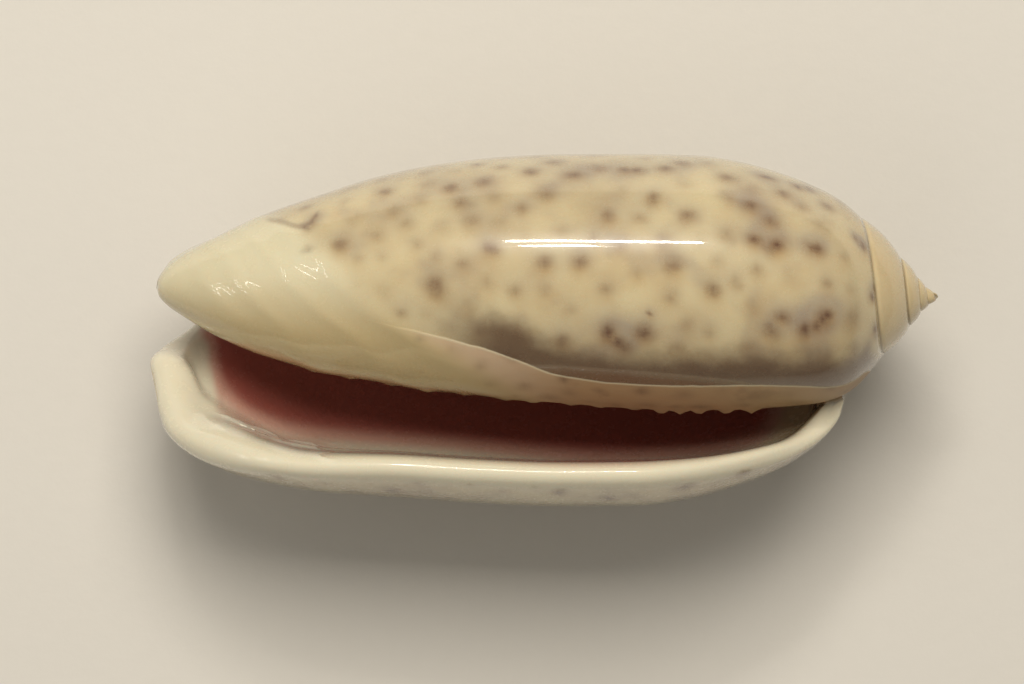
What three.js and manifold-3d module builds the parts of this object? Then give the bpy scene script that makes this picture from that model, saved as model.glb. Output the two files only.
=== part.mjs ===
import * as THREE from "three";
import { mergeVertices } from "three/addons/utils/BufferGeometryUtils.js";
import Module from "manifold-3d";

// An olive shell lying on its back: the spire points to +X, the aperture faces up (+Z)
// and the free outer lip is on the -Y side. All lengths are in millimetres.
// "a" is a distance from the apex along the shell's axis, "r" a distance from that axis,
// and a turn is counted from the lip: 0 at the lip, -1 one whorl earlier.

const BODY_LENGTH = 49.37;
const WALL = 1.35;
const LIP_SWELL = 0.7;
const LIP_SWELL_START_TURN = -0.06;
const REST_FLAT_DEPTH = 0.16;
const FIRST_TURN = -4;
const LUMEN_END_TURN = -0.539;
const TIP_TURN = -0.8;
const LIP_ANGLE = -183;

// How the radius grows in a turn, along the whorl and at the tip, how much wider the wall
// ends at the tip where it is open, and how far the tip lies off the axis.
const WHORL_GROWTH = 1.95;
const TIP_GROWTH = 2.5;
const TIP_GROWTH_SHARES = [0.6, 0.95];
const OPEN_TIP = 2.6;
const OPEN_TIP_START = 0.9;
const TIP_SHIFT = 0.57;
const TIP_SHIFT_START = 30;

// The share of the outline's growth that goes on at the lip, and beyond it.
const LIP_GROWTH = 0.9;
const LEAN_GROWTH = 0.315;

// The suture's place at one turn, its growth from turn to turn, and how far it falls back
// towards the apex and the axis over the last half turn.
const SUTURE_TURN = -0.508;
const SUTURE_A = 4.43;
const SUTURE_A_GROWTH = 2.3;
const SUTURE_R = 5.06;
const SUTURE_R_GROWTH = 2;
const SUTURE_FALL_A = 1.33;
const SUTURE_FALL_R = 1;
const APEX_A = 0.5;

// How finely the surface is cut up.
const COLUMNS_PER_TURN = 54;
const BODY_ROWS = 28;
const EDGE_STEPS = 3;

// Half outlines of the last whorl as [share of its length, radius]: its front (the side
// beside the aperture), the crest half a turn on, and the side that ends in the lip.
const FRONT = [
  [0, 3.58], [0.022, 4.87], [0.04, 5.7], [0.061, 6.27], [0.088, 6.65], [0.143, 6.9],
  [0.198, 7.06], [0.281, 7.09], [0.391, 6.84], [0.501, 6.39], [0.612, 5.92], [0.694, 5.43],
  [0.777, 4.88], [0.86, 3.91], [0.915, 2.98], [0.956, 1.94], [0.983, 1.14], [1, 0],
];
const CREST = [
  [0, 5.06], [0.0285, 6.14], [0.057, 6.84], [0.114, 7.85], [0.171, 8.54], [0.228, 8.92],
  [0.313, 9.02], [0.427, 8.99], [0.513, 8.8], [0.598, 8.35], [0.684, 7.47], [0.769, 6.13],
  [0.855, 4.63], [0.912, 3.35], [0.954, 2.36], [0.983, 1.46], [1, 0],
];
const LIP_SIDE = [
  [0, 6.2], [0.006, 7.4], [0.02, 8.4], [0.042, 9.37], [0.093, 10.8], [0.152, 11.84],
  [0.224, 12.72], [0.297, 13.16], [0.414, 13.2], [0.531, 13], [0.647, 12.7], [0.749, 12.57],
  [0.851, 12], [0.917, 11.15], [0.975, 9.6], [1.004, 7.7], [1.0146, 6.1], [1.02, 4.4],
];

// The front rim, as [angle round the axis, a]: it dips where the siphon's notch is.
const FRONT_RIM = [
  [-183, 49.5], [-160, 50], [-145, 49.85], [-129, 49.2], [-112, 47.3], [-95, 45.5],
  [-75, 44.6], [-50, 45], [-25, 46.8], [-5, 48.7], [11, BODY_LENGTH],
];

// How far the lip leans over the aperture, as [share of its length, degrees].
const LIP_LEAN = [
  [0, 0], [0.04, 8], [0.12, 18], [0.3, 24.5], [0.6, 24.5], [0.8, 20], [0.92, 10],
  [0.97, 2], [1, -8],
];
const LEAN_START = 0.35;

// The line where the smooth callus round the tip begins, as [angle, a], and the folds
// that run beside it, as [share of the way from that line to the tip, height, width].
const CALLUS_LINE = [
  [-80, 44], [-30, 43.9], [23, 42.2], [55, 40.2], [82, 37.9], [110, 33.9], [124, 31.7],
  [150, 28.6], [180, 26.5], [260, 23],
];
const FOLDS = [
  [0, 0.26, 0.085],
  [0.27, 0.16, 0.075],
  [0.52, 0.18, 0.075],
  [0.75, 0.14, 0.065],
];
const FOLDS_FADE_SHARE = 0.8;
const FOLDS_FADE_ANGLES = [-40, 60];

// The channelled suture, the swelling of the bands between its turns, and where the last
// whorl and the lumen begin beside it.
const SUTURE_DEPTH = 0.2;
const APEX_SUTURE_DEPTH = 0.03;
const BAND_BULGE = 0.28;
const BAND_SHARES = [0, 0.05, 0.45, 0.9, 1];
const BAND_END = 0.0545;
const LUMEN_START = 0.08;
const INNER_START_SHIFT = 0.035;

const clamp = (x, low, high) => Math.min(Math.max(x, low), high);

function smooth(low, high, x) {
  const u = clamp((x - low) / (high - low), 0, 1);
  return u * u * (3 - 2 * u);
}

// A smooth curve through points that doesn't overshoot between them.
function makeCurve(points) {
  const last = points.length - 1;
  const step = (i) => points[i + 1][0] - points[i][0];
  const rise = (i) => (points[i + 1][1] - points[i][1]) / step(i);
  const slopes = points.map((_, i) => {
    if (i === 0) return rise(0);
    if (i === last) return rise(last - 1);
    if (rise(i - 1) * rise(i) <= 0) return 0;
    const before = 2 * step(i) + step(i - 1);
    const after = step(i) + 2 * step(i - 1);
    return (before + after) / (before / rise(i - 1) + after / rise(i));
  });
  return (x) => {
    if (x >= points[last][0]) return points[last][1] + (x - points[last][0]) * slopes[last];
    let i = 0;
    while (i < last - 1 && x > points[i + 1][0]) i += 1;
    const u = clamp((x - points[i][0]) / step(i), 0, 1);
    return hermite(u, points[i][1], points[i + 1][1], slopes[i] * step(i), slopes[i + 1] * step(i));
  };
}

function hermite(u, start, end, startSlope, endSlope) {
  const v = 1 - u;
  return (
    (1 + 2 * u) * v * v * start + u * v * v * startSlope + u * u * (3 - 2 * u) * end - u * u * v * endSlope
  );
}

// Outlines are smoothed as squared radii, so that they close roundly at the tip. Where
// the wall is open there, the outline ends wider.
function makeOutline(points) {
  const squared = makeCurve(points.map(([share, radius]) => [share, radius * radius]));
  return (share, opened = 0) => Math.sqrt(Math.max(squared(share) + opened, 0));
}

const front = makeOutline(FRONT);
const crest = makeOutline(CREST);
const lipSide = makeOutline(LIP_SIDE);
const frontRim = makeCurve(FRONT_RIM);
const lipLean = makeCurve(LIP_LEAN);
const callusLineAt = makeCurve(CALLUS_LINE);

const angleOf = (turn) => LIP_ANGLE - 360 * turn;
const sutureFall = (turn) => smooth(-0.5, 0, turn);
const sutureA = (turn) =>
  APEX_A + SUTURE_A * SUTURE_A_GROWTH ** (turn - SUTURE_TURN) - SUTURE_FALL_A * sutureFall(turn);
const sutureR = (turn) =>
  SUTURE_R * SUTURE_R_GROWTH ** (turn - SUTURE_TURN) - SUTURE_FALL_R * sutureFall(turn);
const rimA = (turn) => (turn <= LUMEN_END_TURN ? BODY_LENGTH : frontRim(angleOf(turn)));

// The radius of the outer surface, which grows from turn to turn.
function skinRadius(share, turn) {
  const half = -angleOf(turn) / 180;
  const atFront = front(share);
  const opened = OPEN_TIP * smooth(OPEN_TIP_START, 1, share) * smooth(0, 0.4, half);
  const atCrest = crest(share, opened);
  const atLip = lipSide(share);
  const growth = Math.log(WHORL_GROWTH + TIP_GROWTH * smooth(...TIP_GROWTH_SHARES, share)) / 2;
  const firstRise = atCrest - atFront;
  const secondRise = atLip - atCrest;
  const crestSlope =
    firstRise * secondRise > 0 ? (2 * firstRise * secondRise) / (firstRise + secondRise) : 0;
  const lipSlope = LIP_GROWTH * secondRise;
  if (half < -1) return atFront * Math.exp(growth * (half + 1));
  if (half < 0) return hermite(half + 1, atFront, atCrest, atFront * growth, crestSlope);
  if (half < 1) return hermite(half, atCrest, atLip, crestSlope, lipSlope);
  return atLip + LEAN_GROWTH * secondRise * (half - 1);
}

function foldHeight(a, angle) {
  const line = callusLineAt(clamp(angle, CALLUS_LINE[0][0], CALLUS_LINE.at(-1)[0]));
  const share = (a - line) / (BODY_LENGTH - line);
  const raised = FOLDS.reduce(
    (sum, [place, height, width]) => sum + height * Math.exp(-(((share - place) / width) ** 2)),
    0,
  );
  return raised * (1 - smooth(FOLDS_FADE_SHARE, 1, share)) * smooth(...FOLDS_FADE_ANGLES, angle);
}

function place(a, r, angle) {
  const turned = THREE.MathUtils.degToRad(angle);
  const shift = TIP_SHIFT * smooth(TIP_SHIFT_START, BODY_LENGTH, a);
  return new THREE.Vector3(-a, shift + r * Math.cos(turned), r * Math.sin(turned));
}

// A point of the outer surface at a share of the way from the suture to the front rim.
function skin(share, turn) {
  const start = sutureA(turn);
  const a = start + share * (rimA(turn) - start);
  const r = skinRadius((a - start) / (BODY_LENGTH - start), turn);
  return place(a, r + foldHeight(a, angleOf(turn)) * smooth(0, 1, r), angleOf(turn));
}

function outward(share, turn) {
  const step = 0.002;
  const along = skin(Math.min(share + step, 1), turn).sub(skin(Math.max(share - step, 0), turn));
  const round = skin(share, turn + step).sub(skin(share, turn - step));
  return round.cross(along).normalize();
}

function wallAt(share, turn) {
  const opened = smooth(LUMEN_END_TURN, LUMEN_END_TURN + 0.12, turn);
  const thinned = 1 - (1 - opened) * smooth(0.8, 1, share);
  const swollen = LIP_SWELL * smooth(LIP_SWELL_START_TURN, 0, turn) * smooth(0, 0.12, share);
  return WALL * thinned * (1 + swollen);
}

// One point of a band between two sutures of the spire, slightly rounded.
function band(share, turn) {
  const a = THREE.MathUtils.lerp(sutureA(turn), sutureA(turn + 1), share);
  const r = THREE.MathUtils.lerp(sutureR(turn), sutureR(turn + 1), share);
  const bulge = BAND_BULGE * (sutureR(turn + 1) - sutureR(turn)) * share * (1 - share);
  return place(a - bulge, r + bulge, angleOf(turn));
}

function suture(turn) {
  const depth = APEX_SUTURE_DEPTH + SUTURE_DEPTH * smooth(0, 2.5, sutureR(turn));
  return place(sutureA(turn) + 0.9 * depth, sutureR(turn) - 0.5 * depth, angleOf(turn));
}

// Shares of the rows: the band, the seat of the outer wall, then the body to the tip.
const bandRows = BAND_SHARES.length - 1;
const lumenRow = bandRows + EDGE_STEPS;
const bodySpacing = makeCurve([[0, 0], [0.25, 0.42], [1, 1]]);
const rowShares = BAND_SHARES.map((share) => share * BAND_END);
for (let k = 1; k <= EDGE_STEPS; k += 1)
  rowShares.push(THREE.MathUtils.lerp(BAND_END, LUMEN_START, k / EDGE_STEPS));
for (let k = 1; k <= BODY_ROWS; k += 1)
  rowShares.push(THREE.MathUtils.lerp(LUMEN_START, 1, bodySpacing(k / BODY_ROWS)));
const lastRow = rowShares.length - 1;

const lipColumn = Math.round(-FIRST_TURN * COLUMNS_PER_TURN);
const openColumns = Math.round(-LUMEN_END_TURN * COLUMNS_PER_TURN);
const lumenColumn = lipColumn - openColumns;
const bodyColumn = lipColumn - COLUMNS_PER_TURN;

// The columns of the open part are stretched so that the last one is the lip's edge.
function turnOf(column, row) {
  if (column < lumenColumn) return (column - lipColumn) / COLUMNS_PER_TURN;
  const u = (column - lumenColumn) / openColumns;
  return LUMEN_END_TURN * (1 - u) + (lipLean(rowShares[row]) / 360) * smooth(LEAN_START, 1, u);
}

const points = [];
const faces = [];

function addPoint(point) {
  points.push(point);
  return points.length - 1;
}

function addTriangle(p, q, s) {
  if (p !== q && q !== s && s !== p) faces.push(p, q, s);
}

function addQuad(p, q, s, t) {
  addTriangle(p, q, s);
  addTriangle(p, s, t);
}

const apex = addPoint(new THREE.Vector3(0, 0, 0));
const tip = addPoint(skin(1, TIP_TURN));

// The outer surface. Whorls meet along the suture, where they share their points.
const outer = Array.from({ length: lipColumn + 1 }, () => []);
outer.forEach((column, i) => (column[0] = addPoint(suture(turnOf(i, 0)))));
for (let i = 0; i <= lipColumn; i += 1) {
  for (let j = 1; j <= lastRow; j += 1) {
    const turn = turnOf(i, j);
    const early = i < bodyColumn;
    if (i < bodyColumn - openColumns && j > bandRows) continue;
    if (early && j > bandRows && j < lumenRow) continue;
    if (i <= bodyColumn && j === bandRows) {
      outer[i][j] = outer[i + COLUMNS_PER_TURN][0];
    } else if (j === lastRow && i <= lumenColumn) {
      outer[i][j] = tip;
    } else if (early && j < bandRows) {
      const onBand = band(BAND_SHARES[j], turn);
      outer[i][j] = addPoint(onBand.lerp(skin(rowShares[j], turn), smooth(-1.2, -1, turn)));
    } else {
      outer[i][j] = addPoint(skin(rowShares[j], turn));
    }
  }
}
for (let i = 0; i < lipColumn; i += 1) {
  for (let j = 0; j < lastRow; j += 1) {
    const inLumen = j >= lumenRow && i >= bodyColumn - openColumns;
    if (i >= bodyColumn || j < bandRows || inLumen)
      addQuad(outer[i][j], outer[i + 1][j], outer[i + 1][j + 1], outer[i][j + 1]);
  }
}
const apexLoop = outer.slice(0, COLUMNS_PER_TURN + 1).map((column) => column[0]);
for (let j = bandRows - 1; j > 0; j -= 1) apexLoop.push(outer[0][j]);
apexLoop.forEach((p, k) => addTriangle(apex, apexLoop[(k + 1) % apexLoop.length], p));

// The inner side of the outer wall.
const inner = Array.from({ length: openColumns + 1 }, (_, k) => {
  const i = lumenColumn + k;
  return rowShares.map((rowShare, j) => {
    if (j === 0) return outer[i - COLUMNS_PER_TURN][lumenRow];
    if (j === lastRow && k === 0) return tip;
    const share = rowShare + INNER_START_SHIFT * (1 - rowShare) ** 8;
    const turn = turnOf(i, j);
    return addPoint(skin(share, turn).addScaledVector(outward(share, turn), -wallAt(share, turn)));
  });
});
for (let k = 0; k < openColumns; k += 1)
  for (let j = 0; j < lastRow; j += 1)
    addQuad(inner[k][j], inner[k][j + 1], inner[k + 1][j + 1], inner[k + 1][j]);

// The lumen's deep end, between the inner wall and the whorl before it.
const deepA = outer[lumenColumn - COLUMNS_PER_TURN].slice(lumenRow);
const deepB = inner[0];
for (let p = 0, q = 0; p < deepA.length - 1 || q < deepB.length - 1; ) {
  const onA = p < deepA.length - 1;
  const onB = q < deepB.length - 1;
  const stepA = onA ? points[deepA[p + 1]].distanceTo(points[deepB[q]]) : Infinity;
  const stepB = onB ? points[deepB[q + 1]].distanceTo(points[deepA[p]]) : Infinity;
  if (stepA <= stepB) {
    addTriangle(deepA[p], deepA[p + 1], deepB[q]);
    p += 1;
  } else {
    addTriangle(deepA[p], deepB[q + 1], deepB[q]);
    q += 1;
  }
}

// The direction a free edge faces, square to the edge and to the wall's thickness.
function edgeOut(from, to, line, ahead) {
  const out = points[from].clone().sub(points[to]).cross(line).normalize();
  return out.dot(ahead) < 0 ? out.negate() : out;
}

// Rounds a free edge: points on a half circle from the outer point to the inner one.
function roundEdge(from, to, out, height) {
  const centre = points[from].clone().lerp(points[to], 0.5);
  const half = points[from].clone().sub(centre);
  const row = [from];
  for (let k = 1; k < EDGE_STEPS; k += 1) {
    const turned = (Math.PI * k) / EDGE_STEPS;
    const rise = half.length() * Math.sin(turned) * height;
    row.push(addPoint(centre.clone().addScaledVector(half, Math.cos(turned)).addScaledVector(out, rise)));
  }
  return [...row, to];
}

// At the front corner the lip's edge and the rim's edge turn to one direction.
const near = 0.01;
const lipOuts = rowShares.map((share, j) => {
  const turn = turnOf(lipColumn, j);
  const low = Math.max(share - near, 0);
  const high = Math.min(share + near, 1);
  const line = skin(high, lipLean(high) / 360).sub(skin(low, lipLean(low) / 360)).normalize();
  const ahead = skin(share, turn).sub(skin(share, turn - near));
  return edgeOut(outer[lipColumn][j], inner[openColumns][j], line, ahead);
});
const rimOuts = inner.map((column, k) => {
  const turn = turnOf(lumenColumn + k, lastRow);
  const line = skin(1, turn + near / 2).sub(skin(1, turn - near / 2)).normalize();
  const ahead = skin(1, turn).sub(skin(1 - near, turn));
  return edgeOut(outer[lumenColumn + k][lastRow], column[lastRow], line, ahead);
});
const corner = lipOuts[lastRow].clone().add(rimOuts[openColumns]).normalize();

const lipEdge = rowShares.map((share, j) => {
  if (j === 0) return outer[bodyColumn].slice(bandRows, lumenRow + 1);
  const out = lipOuts[j].clone().lerp(corner, smooth(0.94, 1, share)).normalize();
  return roundEdge(outer[lipColumn][j], inner[openColumns][j], out, smooth(0, 0.03, share));
});
const rimEdge = inner.map((column, k) => {
  if (k === 0) return Array(EDGE_STEPS + 1).fill(tip);
  if (k === openColumns) return lipEdge[lastRow];
  const out = rimOuts[k].clone().lerp(corner, smooth(0.9, 1, k / openColumns)).normalize();
  return roundEdge(outer[lumenColumn + k][lastRow], column[lastRow], out, 1);
});
for (let j = 0; j < lastRow; j += 1)
  for (let k = 0; k < EDGE_STEPS; k += 1)
    addQuad(lipEdge[j][k], lipEdge[j][k + 1], lipEdge[j + 1][k + 1], lipEdge[j + 1][k]);
for (let k = 0; k < openColumns; k += 1)
  for (let m = 0; m < EDGE_STEPS; m += 1)
    addQuad(rimEdge[k][m], rimEdge[k + 1][m], rimEdge[k + 1][m + 1], rimEdge[k][m + 1]);

// The shell stands on a small worn flat on its back, with the middle of its length and
// width over the origin.
const box = new THREE.Box3().setFromPoints(points);
const boxMiddle = box.getCenter(new THREE.Vector3());
const floorZ = box.min.z + REST_FLAT_DEPTH;
const grown = new THREE.BufferGeometry().setFromPoints(points);
grown.setIndex(faces);
grown.translate(-boxMiddle.x, -boxMiddle.y, -floorZ);

const solids = await Module();
solids.setup();

function toSolid(source) {
  const bare = new THREE.BufferGeometry();
  bare.setAttribute("position", source.getAttribute("position"));
  bare.setIndex(source.index);
  const merged = mergeVertices(bare, 1e-4);
  const vertProperties = merged.attributes.position.array;
  const triVerts = new Uint32Array(merged.index.array);
  return new solids.Manifold(new solids.Mesh({ numProp: 3, vertProperties, triVerts }));
}

const worn = new THREE.BoxGeometry(BODY_LENGTH, BODY_LENGTH, 2);
worn.translate(0, 0, -1);
const cut = toSolid(grown).subtract(toSolid(worn)).getMesh();
const geometry = new THREE.BufferGeometry();
geometry.setAttribute("position", new THREE.BufferAttribute(cut.vertProperties, 3));
geometry.setIndex(new THREE.BufferAttribute(cut.triVerts, 1));
geometry.computeVertexNormals();

const shell = new THREE.Mesh(
  geometry,
  new THREE.MeshStandardMaterial({ color: 0xd9cba6, roughness: 0.18, metalness: 0 }),
);
shell.name = "shell";

const part = new THREE.Group();
part.name = "olive_shell";
part.add(shell);

export default part;
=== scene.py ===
import bpy
import numpy as np
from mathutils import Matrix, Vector


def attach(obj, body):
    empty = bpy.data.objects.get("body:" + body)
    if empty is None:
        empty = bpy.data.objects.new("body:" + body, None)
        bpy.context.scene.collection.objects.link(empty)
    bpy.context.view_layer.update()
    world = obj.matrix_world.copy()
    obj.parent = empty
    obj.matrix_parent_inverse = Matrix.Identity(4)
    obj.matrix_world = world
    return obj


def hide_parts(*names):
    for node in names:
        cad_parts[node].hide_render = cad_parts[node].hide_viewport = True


bl_info = {
    "name": "Olive shell",
    "version": (1, 0, 0),
    "blender": (4, 5, 0),
    "location": "3D View > Sidebar > Shell",
    "description": "Grows an olive shell, gives it its markings, and sets up a small studio",
    "category": "Add Mesh",
}

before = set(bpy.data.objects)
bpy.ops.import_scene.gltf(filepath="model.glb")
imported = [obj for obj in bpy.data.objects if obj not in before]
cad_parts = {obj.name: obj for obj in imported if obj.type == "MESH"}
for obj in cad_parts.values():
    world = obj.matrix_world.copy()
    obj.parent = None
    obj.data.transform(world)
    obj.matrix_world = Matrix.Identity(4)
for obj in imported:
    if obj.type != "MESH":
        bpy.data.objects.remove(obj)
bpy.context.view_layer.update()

MM = 0.001

# Half outlines of the last whorl as (share of its length, radius in mm).
FRONT = (
    (0, 3.58), (0.022, 4.87), (0.04, 5.7), (0.061, 6.27), (0.088, 6.65), (0.143, 6.9),
    (0.198, 7.06), (0.281, 7.09), (0.391, 6.84), (0.501, 6.39), (0.612, 5.92), (0.694, 5.43),
    (0.777, 4.88), (0.86, 3.91), (0.915, 2.98), (0.956, 1.94), (0.983, 1.14), (1, 0),
)
CREST = (
    (0, 5.06), (0.0285, 6.14), (0.057, 6.84), (0.114, 7.85), (0.171, 8.54), (0.228, 8.92),
    (0.313, 9.02), (0.427, 8.99), (0.513, 8.8), (0.598, 8.35), (0.684, 7.47), (0.769, 6.13),
    (0.855, 4.63), (0.912, 3.35), (0.954, 2.36), (0.983, 1.46), (1, 0),
)
LIP_SIDE = (
    (0, 6.2), (0.006, 7.4), (0.02, 8.4), (0.042, 9.37), (0.093, 10.8), (0.152, 11.84),
    (0.224, 12.72), (0.297, 13.16), (0.414, 13.2), (0.531, 13), (0.647, 12.7), (0.749, 12.57),
    (0.851, 12), (0.917, 11.15), (0.975, 9.6), (1.004, 7.7), (1.0146, 6.1), (1.02, 4.4),
)
# The front rim as (angle round the axis, distance from the apex), with the notch.
FRONT_RIM = (
    (-183, 49.5), (-160, 50), (-145, 49.85), (-129, 49.2), (-112, 47.3), (-95, 45.5),
    (-75, 44.6), (-50, 45), (-25, 46.8), (-5, 48.7), (11, 49.37),
)
# How far the lip leans over the aperture, as (share of its length, degrees).
LIP_LEAN = (
    (0, 0), (0.04, 8), (0.12, 18), (0.3, 24.5), (0.6, 24.5), (0.8, 20), (0.92, 10),
    (0.97, 2), (1, -8),
)
# Where the smooth callus round the tip begins, as (angle, distance from the apex).
CALLUS_LINE = (
    (-80, 44), (-30, 43.9), (23, 42.2), (55, 40.2), (82, 37.9), (110, 33.9), (124, 31.7),
    (150, 28.6), (180, 26.5), (260, 23),
)
# The folds beside that line: (share of the way to the tip, height, width).
FOLDS = (
    (-0.29, 0.02, 0.05), (0.0, 0.1, 0.08), (0.26, 0.07, 0.055), (0.53, 0.07, 0.055), (0.72, 0.05, 0.055),
)
# Small teeth along the inner lip: distances from the apex.
TEETH = (11.8, 13.4, 15.1, 16.3, 17.5, 19.2, 21.4, 23.2, 25.6, 27.4, 29.9, 32.3, 34.6, 37.1, 39.5)

LIP_ANGLE = -183  # where the lip stands round the axis, in degrees
LUMEN_END = -0.539  # the turn where the hollow ends, counted from the lip
FIRST_TURN = -5.5  # the turn where the spire starts
TIP_TURN = -0.8  # the turn that the front tip counts as
TIP_AT = 49.37  # the front tip's distance from the apex, in mm
BAND_END = 0.0545  # the share of a whorl that the next one leaves in view
LUMEN_START = 0.08  # the share where the hollow starts
LIP_TRAVEL = 75  # about how far the wall runs in one turn, in mm
WALL_LENGTH = 45  # about how far the wall runs from suture to tip, in mm
BAND_ROWS = 12  # steps across the band between two sutures
EDGE_STEPS = 8  # steps round a free edge
OUTER, INNER, EDGE = 0, 1, 2  # the sides of the wall
SEEN_TURN = -0.3  # the inner line shows from above from this turn on
LINE_EVENED = (2.1, 50)  # reach in mm and rounds of evening along that line
CORNER_TURN = -0.05  # the front rim's part of the corner starts at this turn
CORNER_EVENED = (3.0, 40)  # reach and rounds at that corner
SPOT_TRIES = 9000  # places tried for the scattered spots
FAR = 4  # the greatest distance that a zone gives, in mm


def smooth(low, high, x):
    """0 up to low and 1 from high on, with a soft rise between them."""
    u = np.clip((x - low) / (high - low), 0, 1)
    return u * u * (3 - 2 * u)


def curve(points, x):
    """A smooth curve through points that doesn't overshoot between them."""
    xs, ys = np.array(points, float).T
    step = np.diff(xs)
    rise = np.diff(ys) / step
    slope = np.zeros(len(xs))
    slope[0], slope[-1] = rise[0], rise[-1]
    for i in range(1, len(xs) - 1):
        if rise[i - 1] * rise[i] > 0:
            before = 2 * step[i] + step[i - 1]
            after = step[i] + 2 * step[i - 1]
            slope[i] = (before + after) / (before / rise[i - 1] + after / rise[i])
    x = np.asarray(x, float)
    k = np.clip(np.searchsorted(xs, x) - 1, 0, len(xs) - 2)
    u = np.clip((x - xs[k]) / step[k], 0, 1)
    v = 1 - u
    y = (1 + 2 * u) * v * v * ys[k] + u * v * v * step[k] * slope[k]
    y = y + u * u * (3 - 2 * u) * ys[k + 1] - u * u * v * step[k] * slope[k + 1]
    return y + np.maximum(x - xs[-1], 0) * slope[-1]


def outline(points, share, opened=0.0):
    """The radius on an outline. Where the wall is open at the tip, it ends wider."""
    squared = curve([(s, r * r) for s, r in points], share)
    return np.sqrt(np.maximum(squared + opened, 0))


def hermite(u, start, end, start_slope, end_slope):
    """A cubic curve from start to end as u runs from 0 to 1, with the slopes given."""
    v = 1 - u
    first = (1 + 2 * u) * v * v * start + u * v * v * start_slope
    return first + u * u * (3 - 2 * u) * end - u * u * v * end_slope


def angle_of(turn):
    """The angle round the axis in degrees."""
    return LIP_ANGLE - 360 * turn


def suture_a(turn):
    """The suture's distance from the apex along the axis, about 2.3 times as much each turn."""
    start = 0.5 * smooth(FIRST_TURN, -3, turn)
    return start + 4.43 * 2.3 ** (turn + 0.508) - 1.33 * smooth(-0.5, 0, turn)


def suture_r(turn):
    """The suture's distance from the axis, about twice as much each turn."""
    return 5.06 * 2.0 ** (turn + 0.508) - smooth(-0.5, 0, turn)


def rim_a(turn):
    """Where the skin ends: on the front rim where the wall is open, else at the tip."""
    on_rim = curve(FRONT_RIM, np.minimum(angle_of(turn), FRONT_RIM[-1][0]))
    return np.where(turn <= LUMEN_END, TIP_AT, on_rim)


def skin_radius(share, turn):
    """The last whorl's radius, which passes through its three outlines half a turn apart."""
    half = -angle_of(turn) / 180
    open_tip = 2.6 * smooth(0.9, 1, share) * smooth(0, 0.4, half)
    front, lip = outline(FRONT, share), outline(LIP_SIDE, share)
    crest = outline(CREST, share, open_tip)
    growth = np.log(1.95 + 2.5 * smooth(0.6, 0.95, share)) / 2
    first, second = crest - front, lip - crest
    total = np.where(np.abs(first + second) < 1e-9, 1, first + second)
    middle = np.where(first * second > 0, 2 * first * second / total, 0)
    rising = hermite(np.clip(half + 1, 0, 1), front, crest, front * growth, middle)
    falling = hermite(np.clip(half, 0, 1), crest, lip, middle, 0.9 * second)
    r = np.where(half < 0, rising, falling)
    r = np.where(half < -1, front * np.exp(growth * (half + 1)), r)
    return np.where(half > 1, lip + 0.315 * second * (half - 1), r)


def callus_share(a, angle):
    """0 on the line where the callus begins, 1 at the tip, below 0 on the spotted body."""
    line = curve(CALLUS_LINE, np.clip(angle, CALLUS_LINE[0][0], CALLUS_LINE[-1][0]))
    return (a - line) / (TIP_AT - line)


def relief(a, angle, turn):
    """The height of the folds and of the small teeth along the inner lip."""
    share = callus_share(a, angle)
    wobble = 0.012 * np.sin(angle * 0.11 + 3 * share) + 0.006 * np.sin(angle * 0.29)
    folds = sum(h * np.exp(-(((share + wobble - at) / w) ** 2)) for at, h, w in FOLDS)
    folds = folds * (1 - smooth(0.8, 1, share)) * smooth(-40, 60, angle)
    teeth = sum(np.exp(-(((a - at) / 0.36) ** 2)) * (0.3 if at < 18 else 0.12) for at in TEETH)
    teeth = teeth * smooth(163, 176, angle) * (1 - smooth(250, 300, angle)) * (turn < -0.6)
    return folds + teeth


def place(a, r, angle):
    """A point by its distance from the apex, its distance from the axis and its angle."""
    a, r, turned = np.broadcast_arrays(a, r, np.radians(angle))
    shift = 0.57 * smooth(30, 49, a)
    return np.stack([-a, shift + r * np.cos(turned), r * np.sin(turned)], -1)


def skin(share, turn):
    """The outer surface: share 0 is at the suture, and 1 at the tip or on the front rim."""
    share, turn = np.asarray(share, float), np.asarray(turn, float)
    start = suture_a(turn)
    a = start + share * (rim_a(turn) - start)
    r = skin_radius((a - start) / (TIP_AT - start), turn)
    angle = angle_of(turn)
    return place(a, r + relief(a, angle, turn) * smooth(0, 1, r), angle)


def lean_at(share):
    """How far the lip leans over the aperture, in turns."""
    return curve(LIP_LEAN, share) / 360


def unit(v):
    return v / np.maximum(np.linalg.norm(v, axis=-1, keepdims=True), 1e-12)


def outward(share, turn):
    """The direction square to the skin, away from the axis."""
    near = 0.002
    along = skin(np.minimum(share + near, 1), turn) - skin(np.maximum(share - near, 0), turn)
    around = skin(share, turn + near) - skin(share, turn - near)
    return unit(np.cross(around, along))


def thickening(depth):
    """The wall's extra thickness by the distance in mm from its free edge."""
    return (0.6 + 0.95 * smooth(0, 3.5, depth)) * smooth(12, 4, depth)


def wall_at(share, turn, wall, swell):
    """The wall's thickness in mm: thin deep inside, thicker behind the lip and the front rim."""
    opened = smooth(LUMEN_END, LUMEN_END + 0.12, turn)
    thinned = 1 - (1 - opened) * smooth(0.8, 1, share)
    from_lip = LIP_TRAVEL * np.maximum(lean_at(share) - turn, 0)
    lip = thickening(from_lip) * smooth(0.03, 0.3, share)
    rim = thickening(WALL_LENGTH * (1 - share)) * smooth(-0.32, -0.12, turn)
    return wall * thinned * (1 + swell * (lip**4 + rim**4) ** 0.25)


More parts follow.
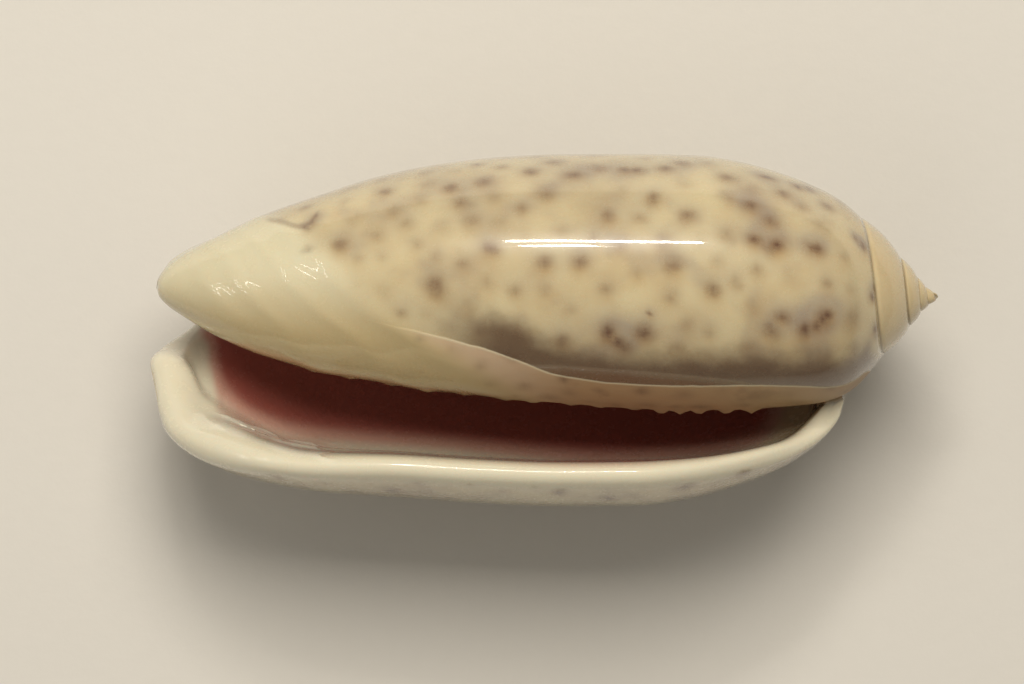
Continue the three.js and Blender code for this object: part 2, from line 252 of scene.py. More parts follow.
def rows_from_suture(body_rows):
    """The shares of the rows across one band, and of all the rows from suture to tip."""
    u = np.linspace(0, 1, BAND_ROWS - 1)
    band = np.concatenate([[0], 0.03 + 0.93 * u, [1]])
    seat = BAND_END + (LUMEN_START - BAND_END) * np.arange(1, EDGE_STEPS + 1) / EDGE_STEPS
    v = np.linspace(0, 1, body_rows + 1)[1:]
    body = LUMEN_START + (1 - LUMEN_START) * (0.62 * v + 0.38 * (1 - (1 - v) ** 1.8))
    return band, np.concatenate([band * BAND_END, seat, body])


class Growth:
    """Grows the shell: its points in mm, its faces, and the side, turn and share of each point."""

    def __init__(self, columns, body_rows, wall, swell):
        self.points, self.faces, self.tags = [], [], []
        self.columns, self.wall, self.swell = columns, wall, swell
        self.band, self.rows = rows_from_suture(body_rows)
        self.last, self.lumen_row = len(self.rows) - 1, BAND_ROWS + EDGE_STEPS
        self.lip_col = round(-FIRST_TURN * columns)
        self.open_cols = round(-LUMEN_END * columns)
        self.deep_col, self.body_col = self.lip_col - self.open_cols, self.lip_col - columns
        self.turns = self.turns_of_columns()
        self.outer_skin()
        self.inner_skin()
        self.deep_end()
        self.free_edge()

    def add(self, point, side, turn, share):
        self.points.append(point)
        self.tags.append((side, turn, share))
        return len(self.points) - 1

    def quad(self, p, q, s, t):
        """A face of four points, or of three where two are the same."""
        ring = [v for k, v in enumerate((p, q, s, t)) if v != (p, q, s, t)[k - 1]]
        if len(set(ring)) > 2:
            self.faces.append(ring)

    def strip(self, grid, flip=False):
        for one, two in zip(grid[:-1], grid[1:]):
            for k in range(len(one) - 1):
                ring = (one[k], one[k + 1], two[k + 1], two[k])
                self.quad(*(ring[::-1] if flip else ring))

    def turns_of_columns(self):
        """The turn of each point. Where the wall is open, the columns come to lean as the lip does."""
        i = np.arange(self.lip_col + 1)
        turns = np.repeat(((i - self.lip_col) / self.columns)[:, None], self.last + 1, 1)
        w = np.clip((i - self.deep_col) / self.open_cols, 0, 1)
        leaned = lean_at(self.rows)[None, :] * smooth(0.35, 1, w)[:, None]
        return np.where((i >= self.deep_col)[:, None], LUMEN_END * (1 - w)[:, None] + leaned, turns)

    def outer_places(self):
        """Where the outer points stand, with bulging bands and a sunken suture on the spire."""
        turns = self.turns
        at = skin(np.repeat(self.rows[None, :], self.lip_col + 1, 0), turns)
        across = np.zeros(self.last + 1)
        across[: BAND_ROWS + 1] = self.band
        a0, r0, a1, r1 = suture_a(turns), suture_r(turns), suture_a(turns + 1), suture_r(turns + 1)
        bulge = 0.28 * (r1 - r0) * across * (1 - across)
        bands = place(a0 + (a1 - a0) * across - bulge, r0 + (r1 - r0) * across + bulge, angle_of(turns))
        k = smooth(-1.2, -1, turns)[..., None]
        older = np.arange(self.lip_col + 1) < self.body_col
        on_band = older[:, None] & (np.arange(self.last + 1) < BAND_ROWS)[None, :]
        at[on_band] = (bands * (1 - k) + at * k)[on_band]
        first = turns[:, 0]
        depth = 0.03 + 0.2 * smooth(0, 2.5, suture_r(first))
        at[:, 0] = place(suture_a(first) + 0.9 * depth, suture_r(first) - 0.5 * depth, angle_of(first))
        return at

    def outer_skin(self):
        """The whorls from the apex to the lip, each joined to the one before along the suture."""
        at, turns = self.outer_places(), self.turns
        apex = self.add(np.zeros(3), OUTER, FIRST_TURN, 0)
        self.tip = self.add(skin(1.0, TIP_TURN), OUTER, TIP_TURN, 1)
        outer = -np.ones((self.lip_col + 1, self.last + 1), int)
        for c in range(self.lip_col + 1):
            outer[c, 0] = self.add(at[c, 0], OUTER, turns[c, 0], 0)
        hollow_col = self.body_col - self.open_cols
        for c in range(self.lip_col + 1):
            for r in range(1, self.last + 1):
                if c < hollow_col and r > BAND_ROWS:
                    continue
                if c < self.body_col and BAND_ROWS < r < self.lumen_row:
                    continue
                if c <= self.body_col and r == BAND_ROWS:
                    outer[c, r] = outer[c + self.columns, 0]
                elif r == self.last and c <= self.deep_col:
                    outer[c, r] = self.tip
                else:
                    outer[c, r] = self.add(at[c, r], OUTER, turns[c, r], self.rows[r])
        for c in range(self.lip_col):
            for r in range(self.last):
                in_lumen = r >= self.lumen_row and c >= hollow_col
                if c >= self.body_col or r < BAND_ROWS or in_lumen:
                    self.quad(outer[c, r], outer[c + 1, r], outer[c + 1, r + 1], outer[c, r + 1])
        loop = list(outer[: self.columns + 1, 0]) + [outer[0, r] for r in range(BAND_ROWS - 1, 0, -1)]
        for p, q in zip(loop, loop[1:] + loop[:1]):
            self.faces.append([apex, q, p])
        self.outer = outer

    def inner_skin(self):
        """The inner side of the open wall, a wall's thickness under the outer one."""
        rows, turns = self.rows, self.turns[self.deep_col :]
        shares = np.repeat((rows + 0.035 * (1 - rows) ** 8)[None, :], self.open_cols + 1, 0)
        thick = wall_at(shares, turns, self.wall, self.swell)
        under = skin(shares, turns) - thick[..., None] * outward(shares, turns)
        inner = -np.ones((self.open_cols + 1, self.last + 1), int)
        for c in range(self.open_cols + 1):
            inner[c, 0] = self.outer[self.deep_col + c - self.columns, self.lumen_row]
            for r in range(1, self.last + 1):
                shut = c == 0 and r == self.last
                inner[c, r] = self.tip if shut else self.add(under[c, r], INNER, turns[c, r], rows[r])
        self.strip(inner)
        self.inner = inner

    def deep_end(self):
        """Closes the hollow between its two walls, always by the shorter of two next edges."""
        one, two = self.outer[self.deep_col - self.columns, self.lumen_row :], self.inner[0]
        p = q = 0
        while p < len(one) - 1 or q < len(two) - 1:
            gap_p = gap_q = np.inf
            if p < len(one) - 1:
                gap_p = np.linalg.norm(self.points[one[p + 1]] - self.points[two[q]])
            if q < len(two) - 1:
                gap_q = np.linalg.norm(self.points[two[q + 1]] - self.points[one[p]])
            ring = (one[p], one[p + 1], two[q]) if gap_p <= gap_q else (one[p], two[q + 1], two[q])
            if len(set(ring)) == 3:
                self.faces.append(list(ring))
            p, q = (p + 1, q) if gap_p <= gap_q else (p, q + 1)

    def edge_out(self, start, end, edge, ahead):
        """The direction a free edge faces, square to the edge and to the wall's thickness."""
        out = unit(np.cross(self.points[start] - self.points[end], edge))
        return out if out @ ahead > 0 else -out

    def round_edge(self, start, end, out, height, turn, share):
        """Points on an arch from the outer point to the inner one, of the given height in mm."""
        middle = (self.points[start] + self.points[end]) / 2
        half = self.points[start] - middle
        line = [start]
        for step in range(1, EDGE_STEPS):
            turned = np.pi * step / EDGE_STEPS
            rise = np.sin(turned) * height
            line.append(self.add(middle + half * np.cos(turned) + out * rise, EDGE, turn, share))
        return line + [end]

    def free_edge(self):
        """The rounded edge along the lip and the front rim, which meet in a shared corner."""
        rows, last, wall, swell = self.rows, self.last, self.wall, self.swell
        outer, inner, turns = self.outer[self.deep_col :], self.inner, self.turns
        low, high = np.maximum(rows - 0.01, 0), np.minimum(rows + 0.01, 1)
        lip_line = unit(skin(high, lean_at(high)) - skin(low, lean_at(low)))
        ahead = skin(rows, turns[-1]) - skin(rows, turns[-1] - 0.01)
        rim_turn = turns[self.deep_col :, last]
        rim_line = unit(skin(1.0, rim_turn + 0.005) - skin(1.0, rim_turn - 0.005))
        forward = skin(1.0, rim_turn) - skin(0.97, rim_turn)
        lip_out = [
            self.edge_out(outer[-1, r], inner[-1, r], lip_line[r], ahead[r]) for r in range(last + 1)
        ]
        rim_out = [
            self.edge_out(outer[c, last], inner[c, last], rim_line[c], forward[c])
            for c in range(self.open_cols + 1)
        ]
        corner = unit(lip_out[-1] + rim_out[-1])
        lip = [list(self.outer[self.body_col, BAND_ROWS : self.lumen_row + 1])]
        for r in range(1, last + 1):
            turned = smooth(0.94, 1, rows[r])
            out = unit(lip_out[r] * (1 - turned) + corner * turned)
            height = 0.5 * wall * (1 + swell * smooth(0, 0.12, rows[r])) * smooth(0, 0.03, rows[r])
            lip.append(self.round_edge(outer[-1, r], inner[-1, r], out, height, turns[-1, r], rows[r]))
        self.strip(lip)
        rim = [[self.tip] * (EDGE_STEPS + 1)]
        for c in range(1, self.open_cols):
            turned = smooth(0.9, 1, c / self.open_cols)
            out = unit(rim_out[c] * (1 - turned) + corner * turned)
            across = np.linalg.norm(self.points[inner[c, last]] - self.points[outer[c, last]])
            height = min(0.5 * wall * (1 + swell * smooth(-0.06, 0, rim_turn[c])), across)
            rim.append(self.round_edge(outer[c, last], inner[c, last], out, height, rim_turn[c], 1))
        rim.append(lip[-1])
        self.strip(rim, flip=True)


def grow(columns, body_rows, wall, swell):
    """The shell: points in mm, faces, (side, turn, share) of each point, the edge's inner line."""
    shell = Growth(columns, body_rows, wall, swell)
    inner_line = np.array([*shell.inner[-1, 1:], *shell.inner[1:, shell.last]])
    return np.array(shell.points), shell.faces, np.array(shell.tags), inner_line


# Spots seen on the front of the shell: (distance from the apex, height on the axis' +Y
# side, size, strength), in mm.
SPOTS = (
    (30.7, 7, 0.42, 0.85), (28.8, 7.3, 0.42, 0.7), (25.7, 8, 0.4, 0.8), (23.2, 7.8, 0.45, 0.85),
    (24.4, 8.7, 0.4, 0.7), (21.5, 8.2, 0.4, 0.65), (19.8, 8.1, 0.38, 0.9), (19.3, 8.1, 0.38, 0.9),
    (17.3, 8.2, 0.42, 0.85), (16.3, 8.5, 0.42, 0.85), (18.1, 6.3, 0.42, 0.75), (15.8, 5.2, 0.4, 0.65),
    (28.5, 3, 0.42, 0.75), (24.9, 2.3, 0.42, 0.75), (22.8, 2.2, 0.42, 0.75), (16.6, 2, 0.42, 0.7),
    (31.7, 0.4, 0.55, 0.8), (14.2, 0.2, 0.45, 0.75), (13.5, 7.7, 0.42, 0.7), (11.1, 7.8, 0.36, 0.8),
    (10.6, 7.7, 0.36, 0.8), (9.9, 6.6, 0.42, 0.75), (8.9, 7.2, 0.32, 0.9), (8.4, 7, 0.3, 0.9),
    (11.9, 5.9, 0.42, 0.8), (10.9, 5, 0.4, 0.65), (11.8, 3.7, 0.38, 0.85), (10.2, 3.4, 0.45, 1),
    (8.4, 3.3, 0.34, 0.85), (7.8, 3.1, 0.36, 0.95), (9.9, -1.2, 0.36, 0.75), (10.7, -2.3, 0.42, 0.75),
    (7.1, -1.2, 0.46, 1), (7.5, -1.5, 0.46, 1), (8, -1.9, 0.44, 0.9), (8.5, -2.3, 0.46, 0.95),
    (24, -3, 0.45, 0.7), (21.2, -2.3, 0.48, 1), (18.9, -2.4, 0.44, 0.95), (20.2, -3.1, 0.42, 0.9),
    (19.9, -3.4, 0.4, 0.8), (18.5, -1.3, 0.14, 0.7), (37.7, 3.4, 0.42, 0.7), (22, 6.3, 1.3, 0.25),
    (39.9, 4.5, 0.22, 0.6), (39.5, 4.8, 0.25, 0.65), (39.2, 5.2, 0.24, 0.6), (4.8, 3.2, 0.22, 1),
    (4.9, 3.5, 0.18, 0.8), (5.2, 3.7, 0.2, 0.6), (4.2, -0.1, 0.22, 1), (4.1, -2.3, 0.24, 0.9),
    (2.3, 0.3, 0.2, 0.9), (4.1, -2.7, 0.2, 0.6), (34.4, -12.3, 0.5, 0.9), (24.1, -12.5, 0.4, 0.9),
    (20.9, -12.8, 0.42, 0.9), (15.9, -12.2, 0.42, 0.95), (12.2, -11.3, 0.46, 0.85),
    (23.7, -5.3, 0.3, 0.8), (21.4, -6.1, 0.25, 0.5), (18.9, -6.1, 0.34, 0.75),
)
# The thin brown line across the front end: (distance from the apex, height on the +Y side).
THIN_MARK = ((39, 5.4), (39.5, 4.7), (39.9, 4.45), (40.3, 4.43), (41.3, 4.68), (42.5, 4.9))
# Edge of the light zone inside the lip: (distance from the apex, height on the +Y side).
LIP_ZONE = (
    (6, -5.5), (9, -7.2), (11.8, -8.8), (15.5, -9.55), (21.1, -9.9), (26.6, -9.5), (30.9, -9.05),
    (37.2, -8.6), (40.4, -8.2), (43.5, -7.1), (45.1, -5.6), (46, -3.6), (47.5, -1),
)
# The line where the matte glaze beside the aperture begins: (distance from the apex, angle).
GLAZE_LINE = (
    (4.5, 155), (6.1, 150), (8.8, 141.5), (12.7, 137.5), (20.2, 137), (24, 133), (26, 126.5),
    (28, 119.5), (31.6, 112), (36, 105),
)
# Upper edge of the thin white layer inside the front of the lip: (distance from the apex,
# height on the +Y side).
LAYER_EDGE = (
    (37, -9.95), (38.3, -9.8), (39.8, -9.2), (41.4, -9.0), (42.2, -8.5), (43.9, -7.9), (45.5, -7.3),
    (46.3, -7.2),
)


def marks_of(points, tags, seed, spacing):
    """Three covers at every point: brown spots, ochre below them and a grey veil above them."""
    angle = angle_of(tags[:, 1])
    toward_tip = callus_share(-points[:, 0], angle)
    skin_points = np.flatnonzero((tags[:, 0] == OUTER) & (tags[:, 1] > -1.02))
    body = skin_points[toward_tip[skin_points] < 0.0]
    front = skin_points[points[skin_points, 2] > -1.5]
    rng = np.random.default_rng(seed)
    centres = []
    for a, y, size, strength in SPOTS:
        gap = np.hypot(-points[front, 0] - a, points[front, 1] - y)
        near = front[gap < gap.min() + 0.2]
        centres.append((points[near[points[near, 2].argmax()]], size, strength))
    # The rest of the spots, one by one, never close to those already there.
    taken = np.array([p for p, _, _ in centres])
    for pick in rng.permutation(body)[:SPOT_TRIES]:
        p = points[pick]
        seen = p[2] > 0 and -p[0] < 41
        if np.linalg.norm(taken - p, axis=1).min() > spacing * rng.uniform(0.75, 1.25):
            taken = np.append(taken, [p], axis=0)
            most = 0.5 if seen and p[1] < 4 else 0.7
            centres.append((p, rng.uniform(0.3, 0.5), rng.uniform(0.2, most)))
    covers = np.zeros((3, len(points)))
    for centre, size, strength in centres:
        near = skin_points[np.linalg.norm(points[skin_points] - centre, axis=1) < 6 * size + 1]
        gap = points[near] - centre
        # Each spot is a few soft lobes run together.
        for lobe in range(rng.integers(1, 4)):
            off = gap - rng.uniform(-0.9, 0.9, 3) * size * (lobe > 0)
            stretch = rng.uniform(0.8, 1.25, 2)
            lean = rng.uniform(-0.4, 0.4)
            gx, gy = off[:, 0] + lean * off[:, 1], off[:, 1] - lean * off[:, 0]
            far = (gx / stretch[0]) ** 2 + (gy / stretch[1]) ** 2 + off[:, 2] ** 2
            core = strength * (0.75 if lobe else 1) * np.exp(-far / (1.25 * size) ** 2)
            covers[0, near] = np.maximum(covers[0, near], core)
        below, above = gap + np.array([0, 0.8 * size, 0]), gap - np.array([0, 0.8 * size, 0])
        ochre = strength * np.exp(-np.sum(below**2, 1) / (1.6 * size) ** 2)
        covers[1, near] = np.maximum(covers[1, near], ochre)
        upper = 0.75 + 0.5 * smooth(0, 6, centre[1])
        covers[2, near] += upper * strength * np.exp(-np.sum(above**2, 1) / (2.6 * size) ** 2)
    return np.clip(covers, 0, 1)


def glaze_edge_at(points, tags):
    """How far a point is inside the line where the matte glaze begins."""
    side, turn, share = tags.T
    a, angle = -points[:, 0], angle_of(turn)
    beside = (side == OUTER) & (turn > -1.6) & (a > 3.4) & (angle > 60)
    beside = beside & ((turn > -1.0) | (share > BAND_END * 1.02))
    turned = np.radians(angle - curve(GLAZE_LINE, np.clip(a, 4.5, 36)))
    edge = turned * np.hypot(points[:, 1], points[:, 2]) - FAR * smooth(4.8, 3.4, a)
    return np.clip(np.where(beside, edge, -FAR), -FAR, FAR)


def inside_at(points, tags):
    """The dark inside, below the light zone along the lip and deep in the last whorl."""
    side, turn, share = tags.T
    a = -points[:, 0]
    border = curve(LIP_ZONE, np.clip(a, 6, 47.5))
    ahead, behind = (curve(LIP_ZONE, np.clip(a + by, 6, 47.5)) for by in (0.1, -0.1))
    steep = np.hypot(1, 5 * (ahead - behind))
    by_height = smooth(-1.45, 0.9, (points[:, 1] - border) / steep)
    by_depth = smooth(-0.15, -0.19, turn)
    ends = smooth(47.4, 45.3, a) * smooth(8.5, 11.5, a)
    inside = np.where(side == OUTER, 0, np.maximum(by_height, by_depth) * ends)
    inside = np.where(side == EDGE, inside * (0.45 - 0.25 * smooth(24, 14, a)), inside)
    wall = (side == OUTER) & (turn < -1.0) & (share > 0.07)
    return np.where(wall, smooth(-1.03, -1.12, turn), inside)


def light_at(points, tags):
    """The white of the lip, which fades on the inner side towards the apex."""
    side, turn, share = tags.T
    on_lip = smooth(-0.01, 0.002, turn - lean_at(share)) * 0.9 * (turn > -0.5)
    light = np.where(side == OUTER, on_lip, 1.0)
    return np.where(side == INNER, 1 - 0.85 * smooth(12.5, 9, -points[:, 0]), light)


def layer_at(points, tags):
    """How far a point is on the lip's side of the white layer's edge, and where that shows."""
    a, within = -points[:, 0], tags[:, 0] != OUTER
    edge = curve(LAYER_EDGE, np.clip(a, 37, 46.3)) - points[:, 1]
    edge = np.where(within & (a > 35), edge, FAR)
    return np.clip(edge, -FAR, FAR), smooth(37.5, 39.5, a) * smooth(46, 44.8, a) * within


def thin_mark_at(points, tags):
    """How far a point is from the thin mark across the front end, and where that shows."""
    a = -points[:, 0]
    gap = curve(THIN_MARK, np.clip(a, 39, 42.5)) - points[:, 1]
    seen = (tags[:, 0] == OUTER) & (tags[:, 1] > -1.0) & (points[:, 2] > 0)
    gap = np.where(seen, gap, FAR)
    return np.clip(gap, -FAR, FAR), smooth(38.9, 39.3, a) * smooth(42.7, 41.9, a)


def groove_gap_at(tags):
    """How far a point is from the suture, with nothing to show on the first small whorls."""
    side, turn, share = tags.T
    row = (side == OUTER) & (share < BAND_END * 1.02)
    near = np.minimum(share, np.abs(BAND_END - share) + (turn > -1.0)) / BAND_END
    size = suture_r(np.where(share > BAND_END / 2, turn + 1, turn))
    gap = near * size * 0.7 + 0.2 * smooth(1.6, 0.3, size)
    return np.clip(np.where(row, gap, FAR), 0, FAR)


def zones_of(points, tags):
    """The zones that the material reads: most run from 0 to 1, the edges and gaps are in mm."""
    side, turn, share = tags.T
    outer = side == OUTER
    toward_tip = callus_share(-points[:, 0], angle_of(turn))
    callus = np.where(outer & (turn > -1.05), smooth(-0.2, 0.06, toward_tip), 0)
    callus = np.where(outer & (turn <= -1.05) & (share > 0.1), smooth(-0.03, 0.03, toward_tip), callus)
    spire = np.where(outer & (share < BAND_END * 1.01), smooth(-0.96, -1.06, turn), 0)
    layer_edge, layer = layer_at(points, tags)
    thin_gap, thin = thin_mark_at(points, tags)
    return {
        "callus": callus, "inside": inside_at(points, tags), "light": light_at(points, tags),
        "spire": spire, "glaze_edge": glaze_edge_at(points, tags), "layer_edge": layer_edge,
        "groove_gap": groove_gap_at(tags), "layer": layer, "glaze": smooth(0.1, -0.12, toward_tip),
        "thin_gap": thin_gap, "thin": thin,
    }


def relax(points, faces, centres, reach, rounds, held=False):
    """Evens out the surface within reach of one centre or more, but for the points held."""
    ends = np.array([(f[k - 1], f[k]) for f in faces for k in range(len(f))])
    ends = np.concatenate([ends, ends[:, ::-1]])
    gap = np.full(len(points), np.inf)
    for centre in centres:
        gap = np.minimum(gap, np.linalg.norm(points - centre, axis=1))
    weight = np.where(held, 0, smooth(reach, 0.3 * reach, gap))
    ends = ends[weight[ends[:, 0]] > 0]
    count = np.bincount(ends[:, 0], minlength=len(points))[:, None]
    for _ in range(rounds):
        total = np.zeros_like(points)
        np.add.at(total, ends[:, 0], points[ends[:, 1]])
        moved = np.where(count > 0, total / np.maximum(count, 1), points)
        points = points + 0.5 * weight[:, None] * (moved - points)
    return points


class ShellSizes(bpy.types.PropertyGroup):
    """How thick and how finely built the shell is."""

    wall: bpy.props.FloatProperty(
        name="Wall", description="Thickness of the outer wall", default=0.00135,
        unit="LENGTH", precision=5,
    )
    lip_swell: bpy.props.FloatProperty(
        name="Lip swell", description="How much thicker the wall is at the lip", default=0.7,
        subtype="FACTOR",
    )
    rest_flat: bpy.props.FloatProperty(
        name="Rest flat", description="How deep the worn flat on the back is", default=0.00016,
        unit="LENGTH", precision=5,
    )
    columns: bpy.props.IntProperty(name="Columns", description="Steps in one turn", default=200, min=48)
    rows: bpy.props.IntProperty(name="Rows", description="Steps along the body", default=150, min=24)
    spot_spacing: bpy.props.FloatProperty(
        name="Spot spacing", description="Usual distance between spots", default=0.00185,
        unit="LENGTH", precision=5,
    )
    spot_seed: bpy.props.IntProperty(
        name="Spot seed", description="Another seed, another pattern", default=7
    )


def colour(name, about, rgb):
    """A colour that can be set in the panel."""
    return bpy.props.FloatVectorProperty(
        name=name, description=about, subtype="COLOR", size=3, min=0, max=1, default=rgb
    )


class ShellColours(bpy.types.PropertyGroup):
    """The shell's colours, as scene linear values."""

    body: colour("Body", "Cream of the spotted body", (0.56, 0.475, 0.29))
    body_warm: colour("Body tint", "Warmer clouds in the cream", (0.50, 0.39, 0.215))
    spot: colour("Spots", "Brown of the spots", (0.125, 0.066, 0.038))
    ochre: colour("Ochre", "Ochre on the lower side of the spots", (0.42, 0.265, 0.095))
    haze: colour("Haze", "Grey veil above the spots", (0.27, 0.225, 0.185))
    callus: colour("Callus", "White of the folded tip", (0.61, 0.565, 0.40))
    # Painted shade: the folded tip's low side, away from the key lamp, in a warmer, darker cream.
    callus_painted_shade: colour("Callus shadow side", "Warmer cream low on the folded tip", (0.47, 0.365, 0.185))
    glaze: colour("Glaze", "Matte tan band beside the aperture", (0.42, 0.28, 0.15))
    glaze_pale: colour("Pale glaze", "Its pink-white front part", (0.58, 0.43, 0.29))
    # Brown pigment above the glaze band, darkened further as painted shade on the body's low side.
    pigment_and_painted_shade: colour("Shade", "Brown shade above that band", (0.11, 0.06, 0.03))
    lip: colour("Lip", "Porcelain white of the lip", (0.64, 0.60, 0.465))
    inside_pale: colour("Throat edge", "Where the inside starts to darken", (0.52, 0.30, 0.235))
    inside_deep: colour("Throat", "Dark purple of the inside", (0.33, 0.095, 0.075))
    spire: colour("Spire", "Tan of the spire", (0.55, 0.44, 0.26))
    # The colour that the suture's channel is made darker with.
    groove: colour("Groove", "Dirt in the suture's channel", (0.14, 0.085, 0.045))
    floor: colour("Floor", "Pale studio floor", (0.62, 0.60, 0.56))


class Nodes:
    """Short ways to add and join shader nodes."""

    def __init__(self, material):
        material.use_nodes = True
        self.tree = material.node_tree
        self.tree.nodes.clear()

    def add(self, kind, **values):
        node = self.tree.nodes.new("ShaderNode" + kind)
        for key, value in values.items():
            setattr(node, key, value)
        return node

    def link(self, source, socket):
        self.tree.links.new(source, socket)

    def feed(self, socket, value):
        if isinstance(value, bpy.types.NodeSocket):
            self.link(value, socket)
        elif isinstance(value, (tuple, list)) and len(value) == 3 and socket.type == "RGBA":
            socket.default_value = (*value, 1)
        else:
            socket.default_value = value

    def zone(self, name):
        return self.add("Attribute", attribute_name=name).outputs["Fac"]

    def math(self, operation, first, second=0.0, clamp=False):
        node = self.add("Math", operation=operation, use_clamp=clamp)
        self.feed(node.inputs[0], first)
        self.feed(node.inputs[1], second)
        return node.outputs[0]

    def mix(self, factor, first, second, blend="MIX"):
        node = self.add("Mix", data_type="RGBA", blend_type=blend)
        self.feed(node.inputs[0], factor)
        self.feed(node.inputs[6], first)
        self.feed(node.inputs[7], second)
        return node.outputs[2]

    def mix_value(self, factor, first, second):
        node = self.add("Mix", data_type="FLOAT")
        self.feed(node.inputs[0], factor)
        self.feed(node.inputs[2], first)
        self.feed(node.inputs[3], second)
        return node.outputs[0]

    def noise(self, place, scale, detail=4.0, rough=0.55, stretch=(1, 1, 1)):
        mapping = self.add("Mapping")
        self.link(place, mapping.inputs["Vector"])
        mapping.inputs["Scale"].default_value = stretch
        node = self.add("TexNoise")
        self.link(mapping.outputs[0], node.inputs["Vector"])
        node.inputs["Scale"].default_value = scale
        node.inputs["Detail"].default_value = detail
        node.inputs["Roughness"].default_value = rough
        return node.outputs["Fac"]

    def range(self, value, low, high, to_low=0.0, to_high=1.0):
        node = self.add("MapRange", interpolation_type="SMOOTHSTEP")
        self.feed(node.inputs["Value"], value)
        keys = ("From Min", "From Max", "To Min", "To Max")
        for key, number in zip(keys, (low, high, to_low, to_high)):
            node.inputs[key].default_value = number
        return node.outputs["Result"]

    def bump(self, height, strength, distance, normal=None):
        node = self.add("Bump")
        self.feed(node.inputs["Height"], height)
        node.inputs["Strength"].default_value = strength
        node.inputs["Distance"].default_value = distance
        if normal:
            self.link(normal, node.inputs["Normal"])
        return node.outputs["Normal"]

    def times(self, first, second, clamp=False):
        return self.math("MULTIPLY", first, second, clamp)

    def plus(self, first, second):
        return self.math("ADD", first, second)


